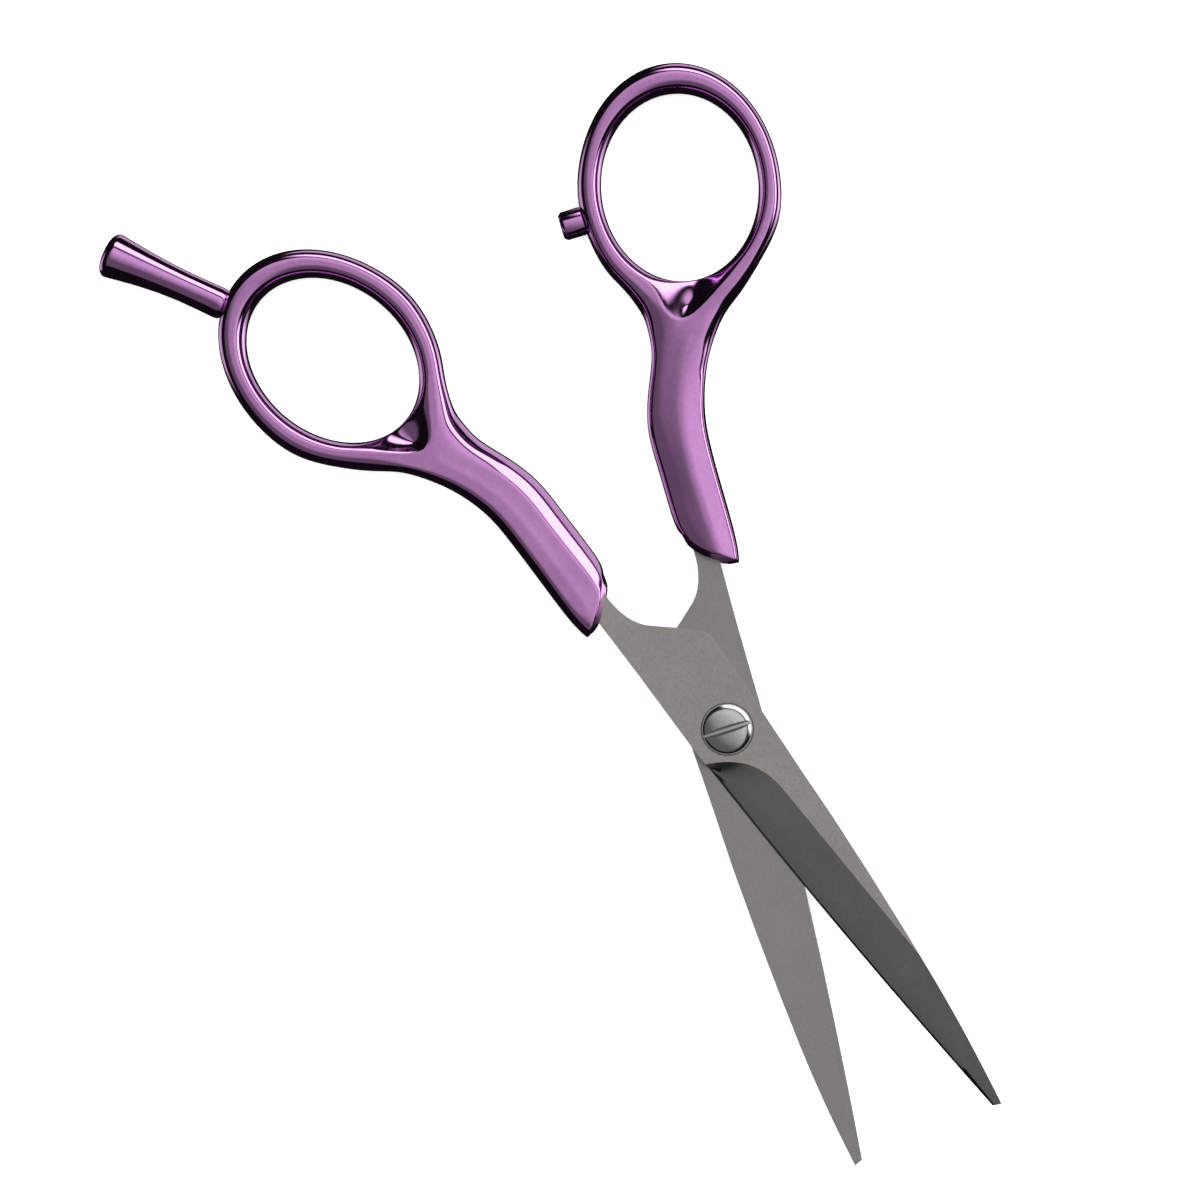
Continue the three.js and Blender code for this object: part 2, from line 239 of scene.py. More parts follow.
def turned_brass():
    """Free-cutting brass from a bar lathe, with a little tarnish."""
    material, tree, shader = new_material("turned_brass")
    tarnish = object_pattern(tree, "ShaderNodeTexNoise", {}, {"Scale": per_metre(0.8), "Detail": 3.0})
    colour = mixed(tree, tarnish.outputs["Fac"], "#a3803a", "#dcbc6c")
    tree.links.new(colour, shader.inputs["Base Color"])
    shader.inputs["Metallic"].default_value = 1.0
    tree.links.new(spread(tree, tarnish.outputs["Fac"], 0.22, 0.4), shader.inputs["Roughness"])
    return material


def natural_nylon():
    """Natural nylon, milky and a little translucent, with the dull skin of a moulding."""
    material, tree, shader = new_material("natural_nylon")
    skin = object_pattern(tree, "ShaderNodeTexNoise", {}, {"Scale": per_metre(0.3), "Detail": 3.0})
    tree.links.new(mixed(tree, skin.outputs["Fac"], "#d9d4c6", "#efebe0"), shader.inputs["Base Color"])
    tree.links.new(spread(tree, skin.outputs["Fac"], 0.45, 0.6), shader.inputs["Roughness"])
    shader.inputs["IOR"].default_value = 1.53
    shader.inputs["Subsurface Weight"].default_value = 0.2
    shader.inputs["Subsurface Scale"].default_value = 0.4 * MM
    return material


def floor_material():
    """Matt white paper, lit from within a little so that the shears' shadow stays faint."""
    material, tree, shader = new_material("white_paper")
    fibre = object_pattern(tree, "ShaderNodeTexNoise", {}, {"Scale": per_metre(1.5), "Detail": 4.0})
    tree.links.new(mixed(tree, fibre.outputs["Fac"], "#f4f4f6", "#fbfbfc"), shader.inputs["Base Color"])
    shader.inputs["Roughness"].default_value = 0.9
    shader.inputs["Emission Color"].default_value = (1.0, 1.0, 1.0, 1.0)
    shader.inputs["Emission Strength"].default_value = 0.55
    return material


# The real grain is some 0.05 mm across, too fine to show, so it is drawn at 0.2 to 0.35 mm.
# blade flats, tumbled and brushed after stamping: a soft warm grey with an even fine grain
SATIN = steel("satin_stainless_steel", "#8d8a87", "#d6d2cf", 0.37, 0.35, 0.009)
# the face that the grinding wheel leaves: cooler, evenly matt, dark where it mirrors the studio
GROUND = steel("ground_stainless_steel", "#98989a", "#cfcfd1", 0.36, 0.35, 0.010)
# inner faces, lapped flat on a plate: a smoother grey with a shallow grain
LAPPED = steel("lapped_stainless_steel", "#8f8f8e", "#c0bfbd", 0.34, 0.3, 0.006)
# screw, nut, stud and the honed edge: bright, with the faint haze of a polishing mop
POLISHED = steel("polished_steel", "#a9a9ab", "#d9d9db", 0.16, 0.3, 0.0015)
# cold-rolled spring strip: bluish and smooth, but not polished
SPRING = steel("spring_steel", "#8d8f94", "#b5b6ba", 0.3, 0.2, 0.002)
PLATING = purple_plating()
BRASS = turned_brass()
NYLON = natural_nylon()


# ---------------------------------------------------------------- handles
#
# A handle is one smooth skin over a cage of twelve-sided sections. They run down the shank, part
# at the crotch into two arms, and meet round the ring. In a section, corners 0 to 2 lie across
# the top from the inner side, 4 is the outer side's middle, 6 to 8 lie under the bottom and 10 is
# the inner side's middle. Round the ring the outer side is the ring's rim and the inner its hole.

CORNERS = 12
TOP_MIDDLE, BOTTOM_MIDDLE = 1, 7
HOLE_TOP, HOLE_BOTTOM = 0, 8
RING_STATIONS = 16
SKIN_LEVELS = 3
TOP_CREASES = {0: 0.5, 11: 0.55, 5: 0.55}
FADING_SPANS = 2  # the shank's creases fade over this many of its last spans
WEB_BREAK = 0.5
WEB_CREASE = 0.9
FRONT_CREASE = 0.8
FRONT_INSET = 1.4
FRONT_SETBACK = [0.3, -0.2, 0.2, 0.4, 0.3, 0.4, 0.2, -0.2, 0.3, 0.7, 0.9, 0.6]
FRONT_BULGE = 0.9

FINGER_HANDLE = {
    # inner and outer side of each section, from the front end back to where the shank parts
    "shank": [
        [(1.25, -28.6), (9.0, -22.55)], [(0.82, -31.2), (9.45, -26.6)], [(0.84, -36), (9.63, -34)],
        [(1.0, -41), (9.82, -41)], [(1.35, -46.3), (10.3, -46.3)], [(3.0, -51.7), (12.0, -51.5)],
        [(4.7, -55.8), (14.3, -55.5)], [(5.2, -59.3), (17.0, -58.9)],
    ],
    "ring": {"centre": (15.32, -77.77), "across": 14.75, "along": 18.9, "tilt": 13.7},
    "hole": {"centre": (15.46, -78.18), "across": 10.85, "along": 13.89, "tilt": 14.9},
    "crotch": 80,
    "outer_flank": [(20.2, -61.4), (24.3, -65.2)],
    "inner_flank": [(1.5, -70.9), (3.5, -66.5), (5.05, -62.3)],
    "top_lands": {"facet": 1.15, "chamfer": 1.7, "drop": 1.15, "lean": 0.2, "crown": 0},
    "bottom_lands": {"facet": 1.15, "chamfer": 1.7, "drop": 1.15, "lean": 0.2, "crown": 0},
    "bottom_crease": 0.5,
    "web_rise": {"top": -0.1, "bottom": -0.1},
}
THUMB_HANDLE = {
    "shank": [
        [(1.85, -28.6), (9.0, -22.55)], [(1.44, -31.2), (9.5, -26.6)], [(1.43, -36), (9.7, -34)],
        [(1.5, -41), (9.92, -41)], [(1.85, -46.3), (10.7, -46.3)], [(3.7, -51.7), (12.5, -51.5)],
        [(5.4, -55.8), (14.8, -55.5)], [(5.9, -59.3), (17.7, -58.9)],
    ],
    "ring": {"centre": (16.46, -78.2), "across": 15.0, "along": 18.75, "tilt": 12.1},
    "hole": {"centre": (16.62, -78.55), "across": 11.61, "along": 13.84, "tilt": 12.6},
    "crotch": 84,
    "outer_flank": [(21.0, -61.3), (25.3, -65.2)],
    "inner_flank": [(2.2, -71.2), (4.2, -66.8), (5.75, -62.5)],
    "top_lands": {"facet": 1.15, "chamfer": 1.7, "drop": 1.15, "lean": 0.2, "crown": 0},
    "bottom_lands": {"facet": 0.5, "chamfer": 2.9, "drop": 0.7, "lean": 0, "crown": 0.6},
    "bottom_crease": 0.25,
    "web_rise": {"top": 0.0, "bottom": 0.5},
}


def on_ellipse(ellipse, angle):
    """A point on a tilted ellipse in the XY plane; 90 degrees is the end near the shank."""
    at = Vector((ellipse["across"] * math.cos(math.radians(angle)),
                 ellipse["along"] * math.sin(math.radians(angle))))
    at.rotate(Matrix.Rotation(math.radians(ellipse["tilt"]), 2))
    return at + Vector(ellipse["centre"])


def shank_section(width, top, bottom):
    """Corner places of a shank section between its two sides, as distance across and height."""
    round_edge, round_depth, round_bulge = 1.3, 1.4, 0.22
    top_ridge = top["facet"] + top["chamfer"]
    far = width - round_edge
    under_ridge = width - bottom["facet"] - bottom["chamfer"]
    low, high = HANDLE_BOTTOM, HANDLE_TOP
    return [
        (top_ridge, high - top["lean"]), ((top_ridge + far) / 2, high - (top["lean"] + top["crown"]) / 3),
        (far, high - top["crown"]), (width - round_bulge, high - round_depth), (width, JOINT_Z),
        (width - bottom["facet"], low + bottom["drop"]), (under_ridge, low + bottom["lean"]),
        ((under_ridge + round_edge) / 2, low + (bottom["lean"] + bottom["crown"]) / 3),
        (round_edge, low + bottom["crown"]),
        (round_bulge, low + round_depth), (0, JOINT_Z), (top["facet"], high - top["drop"]),
    ]


def ring_section(width):
    """Corner places of a ring section from the hole to the rim, as distance across and height."""
    half_width = width / 2
    half_height = (HANDLE_TOP - HANDLE_BOTTOM) / 2
    shape = [(-0.5, 0.93), (0.05, 1.0), (0.6, 0.9), (0.93, 0.5), (1.0, 0.0), (0.93, -0.5),
             (0.6, -0.9), (0.05, -1.0), (-0.5, -0.93), (-0.9, -0.55), (-1.0, 0.0), (-0.9, 0.55)]
    return [(half_width * (1 + across), JOINT_Z + half_height * up) for across, up in shape]


def place_section(start, end, places):
    direction = (end - start).normalized()
    return [Vector((*(start + direction * across), height)) for across, height in places]


def new_loop(bm, points):
    verts = [bm.verts.new(point) for point in points]
    for a, b in zip(verts, verts[1:] + verts[:1]):
        bm.edges.new((a, b))
    return verts


def loop_edges(bm, verts):
    pairs = zip(verts, verts[1:] + verts[:1])
    return [bm.edges.get(pair) or bm.edges.new(pair) for pair in pairs]


def bridge(bm, first, second):
    bmesh.ops.bridge_loops(bm, edges=loop_edges(bm, first) + loop_edges(bm, second))


def crotch_column(bm, shape):
    """The five corners down the hole's wall, from top to bottom, where the arms part."""
    at = on_ellipse(shape["hole"], shape["crotch"])
    inward = (Vector(shape["hole"]["centre"]) - at).normalized()
    places = [(-0.6, 4.6), (-0.2, 4.1), (0.0, 3.5), (-0.2, 2.9), (-0.6, 2.4)]
    return [bm.verts.new((*(at + inward * across), height)) for across, height in places]


def handle_cage(shape):
    """The cage of a whole handle: its shank, the two arms and the ring, creased and closed."""
    bm = bmesh.new()
    shank = []
    for inner, outer in shape["shank"]:
        inner, outer = Vector(inner), Vector(outer)
        places = shank_section((outer - inner).length, shape["top_lands"], shape["bottom_lands"])
        shank.append(new_loop(bm, place_section(inner, outer, places)))
    for first, second in zip(shank, shank[1:]):
        bridge(bm, first, second)
    column = crotch_column(bm, shape)
    parting = shank[-1]
    outer_arm = [column[0]] + parting[TOP_MIDDLE:BOTTOM_MIDDLE + 1] + column[:0:-1]
    inner_side = [parting[i % CORNERS] for i in range(CORNERS + 1, BOTTOM_MIDDLE - 1, -1)]
    inner_arm = [column[0]] + inner_side + column[:0:-1]
    rim_places = ring_rim_points(shape)
    ring = []
    for i, rim in enumerate(rim_places, start=1):
        hole = on_ellipse(shape["hole"], shape["crotch"] - 360 * i / RING_STATIONS)
        ring.append(new_loop(bm, place_section(hole, rim, ring_section((rim - hole).length))))
    for first, second in zip([outer_arm] + ring, ring + [inner_arm]):
        bridge(bm, first, second)
    crease_ridges(bm, shank, shape["bottom_crease"])
    shape_web(bm, parting[TOP_MIDDLE], column[0], ring, HOLE_TOP, shape["web_rise"]["top"])
    shape_web(bm, parting[BOTTOM_MIDDLE], column[-1], ring, HOLE_BOTTOM, -shape["web_rise"]["bottom"])
    close_front(bm, shank[0])
    bmesh.ops.recalc_face_normals(bm, faces=bm.faces)
    return bm


def shape_web(bm, apex, crotch, ring, hole_corner, rise):
    """The sloping triangle between the arms: its two edges run from the apex to the hole. The
    rise keeps its middle above the straight slope, so that it falls late and steeply."""
    layer = bm.edges.layers.float["crease_edge"]
    for arm in (ring[0], ring[-1]):
        ridges = bmesh.ops.connect_vert_pair(bm, verts=[apex, arm[hole_corner]])["edges"]
        for ridge in ridges:
            ridge[layer] = WEB_CREASE
    spine = bm.edges.get((apex, crotch))
    _, middle = bmesh.utils.edge_split(spine, apex, WEB_BREAK)
    middle.co.z += rise


def close_front(bm, front):
    """Sets the front edge back, most at the outer corner, and closes it with a bulging face."""
    for vert, setback in zip(front, FRONT_SETBACK):
        vert.co.y -= setback
    cap = bm.faces.new(front)
    cap.normal_update()
    outward = 1 if cap.normal.y > 0 else -1
    bmesh.ops.inset_individual(bm, faces=[cap], thickness=FRONT_INSET, depth=FRONT_BULGE * outward)


def ring_rim_points(shape):
    """The rim's points round the ring; beside the crotch they follow the shank's flanks."""
    outer, inner = shape["outer_flank"], shape["inner_flank"]
    round_rim = range(len(outer) + 1, RING_STATIONS - len(inner))
    angles = [shape["crotch"] - 360 * i / RING_STATIONS for i in round_rim]
    rim = [on_ellipse(shape["ring"], angle) for angle in angles]
    return [Vector(p) for p in outer] + rim + [Vector(p) for p in inner]


def crease_ridges(bm, shank, bottom_crease):
    """Holds the shank's four long ridges and its front edge crisp under the smoothing."""
    layer = bm.edges.layers.float.new("crease_edge")
    spans = list(zip(shank, shank[1:]))
    for i, (first, second) in enumerate(spans):
        fading = min(1, (len(spans) - 1 - i) / FADING_SPANS)
        for corner, crease in {**TOP_CREASES, 6: bottom_crease}.items():
            edge = bm.edges.get((first[corner], second[corner]))
            edge[layer] = crease * fading
    for edge in loop_edges(bm, shank[0]):
        edge[layer] = FRONT_CREASE


def settle_cage(piece, rounds=2):
    """Moves the cage out until the smooth skin passes through the corners as they were drawn. The
    front end keeps its place, because its creases hold it."""
    drawn = [vert.co.copy() for vert in piece.data.vertices]
    loose = range(CORNERS, len(drawn) - CORNERS)
    for _ in range(rounds):
        skinned = skinned_mesh(piece)
        for i in loose:
            piece.data.vertices[i].co += drawn[i] - skinned.vertices[i].co
        bpy.data.meshes.remove(skinned)


def skinned_mesh(piece):
    piece.data.update()
    graph = bpy.context.evaluated_depsgraph_get()
    graph.update()
    return bpy.data.meshes.new_from_object(piece.evaluated_get(graph))


def skin(piece):
    """Smooths the cage and keeps the skin as the piece's mesh, within the handle's thickness."""
    smooth = piece.modifiers.new("smooth_skin", "SUBSURF")
    smooth.levels = SKIN_LEVELS
    smooth.render_levels = SKIN_LEVELS
    settle_cage(piece)
    skinned = skinned_mesh(piece)
    piece.modifiers.clear()
    piece.data = skinned
    for vert in skinned.vertices:
        vert.co.z = min(max(vert.co.z, HANDLE_BOTTOM * MM), HANDLE_TOP * MM)


def handle(name, shape, node, body, place):
    piece = finish_piece(name, handle_cage(shape), [PLATING], place, smooth_angle=180)
    skin(piece)
    stands_for(piece, node, body)


# ---------------------------------------------------------------- blades
#
# A blade's outer face is two faces that meet in the grinding line: the flat one, which the screw
# passes through, and the ground one, which is ruled from the cutting edge up to the line. From
# LINE_MEETS_SPINE to the tip the ground face takes the whole width.

EDGE_HEEL = (5.5, 3.3)
EDGE_BOW = (4.0, 35.5)
LINE_END = (5.7, 2.3)
LINE_MEETS_SPINE = 44
SPINE_X = -3.6  # of the spine where the grinding line meets it
TIP_SPINE_X, TIP_EDGE_X, TIP_SLANT = -0.65, 0.6, 0.5
RUN_OUT = 13
RUN_OUT_X = -1.6
TIP_STEPS, LINE_STEPS, RUN_OUT_STEPS = 10, 12, 14
RUN_OUT_SWEEP = 3  # how late the ground face turns up into the run-out
RULING_CUTS = 4
EDGE_LAND = 0.35
HONED_WIDTH = 0.3
GROUND_SLOPE = 0.29
HONED_REACH = 1.5  # no point of the honed facet is further from a point of the edge
BROKEN_EDGE = 0.2
SHARP_CORNER = math.radians(50)
RECESS_RADIUS, RECESS_SIDES = 3.95, 72
RECESS_DEPTH = 1.15
BUSH_HOLE_RADIUS = 2.6
NUT_HOLE_RADIUS, NUT_SIDES = 3.08, 6
TANG_END_Y = -43
TOUCHING = 0.01  # points nearer than this are the same
ON_FLAT, ON_GROUND, ON_INNER, ON_HONED = range(4)
BLADE_FINISHES = [SATIN, GROUND, LAPPED, POLISHED]


def blade_back():
    """The outline from behind the heel round the tang and the shoulder, up to the grinding line."""
    line = [LINE_END, (5.75, 0), (5.95, -14), (6.2, -22.4), (6.2, TANG_END_Y), (3.0, TANG_END_Y),
            (3.0, -25.5)]
    line += bezier((3.0, -25.5), (2.7, -21.4), (0.7, -19.4), steps=6)
    line += bezier(line[-1], (-1.1, -17.8), (-2.9, -16.3), steps=6)
    line += bezier((-5.35, -13.9), (-5.95, -13.3), (-5.99, -12.7), steps=5)
    line += [(-6.0, -6.7), (-5.7, 2), (-5.41, 10), (-5.12, 20), (-4.6, 30), (-3.93, 40)]
    return [Vector(p) for p in line]


def spine_to_tip(length):
    """The spine from where the grinding line meets it to the tip."""
    start = Vector((SPINE_X, LINE_MEETS_SPINE))
    return [start] + bezier(start, (-3.0, 52), (-2.3, 58), (TIP_SPINE_X, length), steps=TIP_STEPS)


def cutting_edge(length):
    """The edge from the tip to the heel, with a point level with each point of the upper line."""
    tip, bow, heel = Vector((TIP_EDGE_X, length - TIP_SLANT)), Vector(EDGE_BOW), Vector(EDGE_HEEL)
    levels = [tip.y]
    for level, steps in ((LINE_MEETS_SPINE, TIP_STEPS), (RUN_OUT, LINE_STEPS), (heel.y, RUN_OUT_STEPS)):
        start = levels[-1]
        levels += [start + (level - start) * i / steps for i in range(1, steps + 1)]
    made = []
    for level in levels:
        t = (tip.y - level) / (tip.y - heel.y)
        made.append(tip.lerp(bow, t).lerp(bow.lerp(heel, t), t))
    return made


def grinding_line():
    """From the spine down to the wheel's round run-out and across to the heel."""
    top, bottom = Vector((SPINE_X, LINE_MEETS_SPINE)), Vector((RUN_OUT_X, RUN_OUT))
    straight = [top.lerp(bottom, i / LINE_STEPS) for i in range(1, LINE_STEPS + 1)]
    return straight + bezier(bottom, (-1.4, 6.6), (1.6, 4.2), LINE_END, steps=RUN_OUT_STEPS)


def wire(bm, points):
    """An open line of edges through the points, at the height of the blade's outer face."""
    verts = [bm.verts.new((*point, BLADE_TOP)) for point in points]
    return verts, [bm.edges.new(pair) for pair in zip(verts, verts[1:])]


def ground_face(rulings):
    """The face between the cutting edge and the upper line, ruled across in small steps."""
    bm = bmesh.new()
    edge_verts, edge_edges = wire(bm, [edge for edge, _ in rulings])
    _, upper_edges = wire(bm, [upper for _, upper in rulings])
    bmesh.ops.bridge_loops(bm, edges=edge_edges + upper_edges)
    ends = set(edge_verts)
    rungs = [edge for edge in bm.edges if len(ends.intersection(edge.verts)) == 1]
    bmesh.ops.subdivide_edges(bm, edges=rungs, cuts=RULING_CUTS, use_grid_fill=True)
    shape_ground_face(bm, rulings)
    for face in bm.faces:
        face.material_index = ON_GROUND
    return bm


def flat_face(bm, outline, hole_radius, hole_sides):
    """The face that the pivot passes through, joined to the ground face along the grinding line."""
    lying = {vert: vert.co.xy.copy() for vert in bm.verts}
    corners = []
    for point in outline:
        shared = min(lying, key=lambda vert: (lying[vert] - point).length)
        on_line = (lying[shared] - point).length < TOUCHING
        corners.append(shared if on_line else bm.verts.new((*point, BLADE_TOP)))
    hole = bmesh.ops.create_circle(bm, segments=hole_sides, radius=hole_radius,
                                   matrix=Matrix.Translation((0, 0, BLADE_TOP)))["verts"]
    hole_edges = list({edge for vert in hole for edge in vert.link_edges})
    bmesh.ops.triangle_fill(bm, edges=loop_edges(bm, corners) + hole_edges, use_beauty=True,
                            use_dissolve=False)


def blade(name, length, hole_radius, hole_sides, node, body, place):
    """One ground blade with its tang; the still one's hole is stepped for the screw's head."""
    upper = list(reversed(spine_to_tip(length))) + grinding_line()
    bm = ground_face(list(zip(cutting_edge(length), upper)))
    flat_face(bm, upper[TIP_STEPS:] + blade_back()[1:], hole_radius, hole_sides)
    thicken(bm)
    if hole_radius == RECESS_RADIUS:
        step_recess(bm)
    break_edges(bm, length)
    hone(bm, length)
    piece = finish_piece(name, bm, BLADE_FINISHES, place, smooth_angle=14)
    stands_for(piece, node, body)


def thicken(bm):
    """Draws the outer faces down to the flat inner face, which the blades ride on. The land's top
    is set back from the edge, which leaves a leaning facet."""
    lower = bmesh.ops.extrude_face_region(bm, geom=list(bm.faces), use_keep_orig=True)["geom"]
    for item in lower:
        if isinstance(item, bmesh.types.BMVert):
            item.co.z = BLADE_BOTTOM
        if isinstance(item, bmesh.types.BMFace):
            item.material_index = ON_INNER
    for vert in bm.verts:
        if abs(vert.co.z - BLADE_BOTTOM - EDGE_LAND) < TOUCHING / 10:
            vert.co.x -= HONED_WIDTH
    bmesh.ops.recalc_face_normals(bm, faces=bm.faces)


def step_recess(bm):
    """Narrows the lower part of the screw head's recess to the hole for the bush."""
    def in_wall(vert):
        return abs(vert.co.xy.length - RECESS_RADIUS) < TOUCHING

    wall = [edge for edge in bm.edges if all(map(in_wall, edge.verts))
            and abs(edge.verts[0].co.z - edge.verts[1].co.z) > RECESS_DEPTH]
    bmesh.ops.subdivide_edges(bm, edges=wall, cuts=2, use_grid_fill=True)
    for vert in filter(in_wall, list(bm.verts)):
        between = BLADE_BOTTOM + TOUCHING < vert.co.z < BLADE_TOP - TOUCHING
        if vert.co.z < (BLADE_TOP + BLADE_BOTTOM) / 2:
            vert.co.xy *= BUSH_HOLE_RADIUS / RECESS_RADIUS
        if between:
            vert.co.z = BLADE_TOP - RECESS_DEPTH


def shape_ground_face(bm, rulings):
    """Slopes the ground face from the land at the cutting edge up to the grinding line. At the
    run-out it turns up to the flat face as the wheel's rim does; near the tip it stays below it."""
    land = BLADE_BOTTOM + EDGE_LAND
    for vert in bm.verts:
        edge, upper = nearest_ruling(vert, rulings)
        length = (upper - edge).length
        along = min(1.0, (vert.co.xy - edge).length / length)
        reached = min(BLADE_TOP, land + GROUND_SLOPE * distance_to_edge(upper, rulings))
        ends = BLADE_TOP if upper.y < LINE_MEETS_SPINE + TOUCHING else reached
        plane = land + GROUND_SLOPE * length * along
        plane = min(plane, land + (reached - land) * along)
        vert.co.z = plane + (ends - reached) * along ** RUN_OUT_SWEEP


def nearest_ruling(vert, rulings):
    """The ruling that a point of the ground face lies on, as its two ends in the plane."""
    def miss(ruling):
        a, b = ruling
        return (vert.co.xy - a).length + (vert.co.xy - b).length - (a - b).length
    return min(rulings, key=miss)


def distance_to_edge(point, rulings):
    return min((point - edge).length for edge, _ in rulings)


def distance_to(line, vert):
    return min((vert.co.xy - point).length for point in line)


def hone(bm, length):
    """The narrow facet along the cutting edge, the only one there that leans, is whetted bright."""
    edge = cutting_edge(length)
    for face in bm.faces:
        beside_edge = all(distance_to(edge, vert) < HONED_REACH for vert in face.verts)
        if beside_edge and 0.3 < face.normal.z < 0.9:
            face.material_index = ON_HONED


def break_edges(bm, length):
    """A small round on every corner but those of the cutting edge and of the pivot's hole."""
    edge = cutting_edge(length)

    def stays_sharp(corner):
        on_edge = all(distance_to(edge, vert) < HONED_WIDTH + 5 * TOUCHING for vert in corner.verts)
        in_hole = all(vert.co.xy.length < RECESS_RADIUS + TOUCHING for vert in corner.verts)
        return on_edge or in_hole

    corners = [corner for corner in bm.edges if corner.is_manifold
               and corner.calc_face_angle() > SHARP_CORNER and not stays_sharp(corner)]
    bmesh.ops.bevel(bm, geom=corners, offset=BROKEN_EDGE, segments=2, profile=0.5,
                    affect="EDGES", clamp_overlap=True, material=-1)


# ---------------------------------------------------------------- tension screw

SCREW_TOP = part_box("pivot_screw")[1].z / MM
SCREW_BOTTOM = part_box("pivot_screw")[0].z / MM
HEAD_RADIUS = 3.75
HEAD_BOTTOM = 5.2
HEAD_OVERLAP = 0.1  # how far above the head's bottom its two domed halves start
SHOULDER_RADIUS = 2.0
SHOULDER_BOTTOM = JOINT_Z + 0.05
THREAD_PITCH = 0.5
THREAD_CREST, THREAD_ROOT = 1.5, 1.3
THREAD_PROFILE = [(THREAD_CREST, 0.4), (THREAD_CREST, 0.6), (THREAD_ROOT, 0.95)]
DEBURRED = 0.06
SLOT_WIDTH = 1.2
SLOT_DEPTH = 0.7
SLOT_ANGLE = math.radians(162)
SLOT_WALL_LEAN = 0.42
# distance across as a part of the radius, and drop from the top
HEAD_DOME = [(1, 0.95), (0.985, 0.78), (0.92, 0.56), (0.78, 0.33), (0.58, 0.14), (0.32, 0.04), (0, 0)]


def tension_screw():
    """A slotted low dome head, a shoulder for the bush and a threaded end with real ridges."""
    floor = SCREW_TOP - SLOT_DEPTH
    bm = turned(rounded(screw_shank() + [(HEAD_RADIUS, HEAD_BOTTOM), (HEAD_RADIUS, floor), (0, floor)],
                        DEBURRED))
    for side in (0, math.pi):
        half = half_head()
        bmesh.ops.rotate(half, matrix=Matrix.Rotation(side, 3, "Z"), verts=half.verts)
        scratch = bpy.data.meshes.new("half_head")
        half.to_mesh(scratch)
        half.free()
        bm.from_mesh(scratch)
        bpy.data.meshes.remove(scratch)
    bmesh.ops.recalc_face_normals(bm, faces=bm.faces)
    bmesh.ops.rotate(bm, matrix=Matrix.Rotation(SLOT_ANGLE, 3, "Z"), verts=bm.verts)
    piece = finish_piece("tension_screw", bm, [POLISHED], smooth_angle=25)
    stands_for(piece, "pivot_screw", "tension_screw")


def half_head():
    """The domed head on one side of the slot, whose wall leans back a little."""
    dome = [(HEAD_RADIUS * across, SCREW_TOP - drop) for across, drop in HEAD_DOME]
    bottom = HEAD_BOTTOM + HEAD_OVERLAP
    half = turned([(0, bottom), (HEAD_RADIUS, bottom)] + dome)
    geometry = half.verts[:] + half.edges[:] + half.faces[:]
    bmesh.ops.bisect_plane(half, geom=geometry, plane_co=(0, SLOT_WIDTH / 2, SCREW_TOP),
                           plane_no=(0, SLOT_DEPTH, -SLOT_WALL_LEAN), clear_inner=True)
    bmesh.ops.holes_fill(half, edges=[e for e in half.edges if e.is_boundary])
    return half


def screw_shank():
    """The screw's outline from its end over the thread's ridges to the shoulder under the head."""
    profile = [(0, SCREW_BOTTOM), (THREAD_ROOT, SCREW_BOTTOM)]
    turns = int((SHOULDER_BOTTOM - SCREW_BOTTOM) / THREAD_PITCH)
    for i in range(turns):
        profile += [(radius, SCREW_BOTTOM + (i + part) * THREAD_PITCH) for radius, part in THREAD_PROFILE]
    return profile + [(THREAD_ROOT, SHOULDER_BOTTOM), (SHOULDER_RADIUS, SHOULDER_BOTTOM),
                      (SHOULDER_RADIUS, HEAD_BOTTOM)]


# ---------------------------------------------------------------- pivot nut

NUT_FLANGE_RADIUS = 4.5
NUT_FLANGE_TOP = 1.15
NUT_DISH_RADIUS, NUT_DISH_DEPTH, NUT_RIM_RADIUS = 1.3, 0.35, 1.6
NUT_BODY_RADIUS, NUT_BODY_HEIGHT = 3.0, 2.2
NUT_BODY_BOTTOM = NUT_FLANGE_TOP - 0.05
NUT_ROUND = 0.18


def pivot_nut():
    """The nut's round flange, dished and with a turned rim, and its six-sided body."""
    profile = [(0, NUT_DISH_DEPTH), (NUT_DISH_RADIUS, NUT_DISH_DEPTH), (NUT_RIM_RADIUS, 0),
               (NUT_FLANGE_RADIUS, 0), (NUT_FLANGE_RADIUS, NUT_FLANGE_TOP), (0, NUT_FLANGE_TOP)]
    bm = turned(rounded(profile, NUT_ROUND))
    in_blade = (Matrix.Translation((0, 0, NUT_BODY_BOTTOM + NUT_BODY_HEIGHT / 2))
                @ Matrix.Rotation(math.pi - OPEN_ANGLE, 4, "Z"))
    bmesh.ops.create_cone(bm, cap_ends=True, segments=NUT_SIDES, radius1=NUT_BODY_RADIUS,
                          radius2=NUT_BODY_RADIUS, depth=NUT_BODY_HEIGHT, matrix=in_blade)
    piece = finish_piece("pivot_nut_body", bm, [POLISHED])
    stands_for(piece, "pivot_nut", "moving_half")


# ---------------------------------------------------------------- finger rest and bumper

REST_BASE = (24.0, -94.6, JOINT_Z)
REST_ANGLE = math.radians(-59.5)
REST_LENGTH = 18.95
REST_BEND = 0.5
BUMPER_Y = -78


def along_axis(base, angle):
    """Lays a piece made about Z along a direction in the XY plane."""
    return (Matrix.Translation(base) @ Matrix.Rotation(angle, 4, "Z")
            @ Matrix.Rotation(math.pi / 2, 4, "Y"))


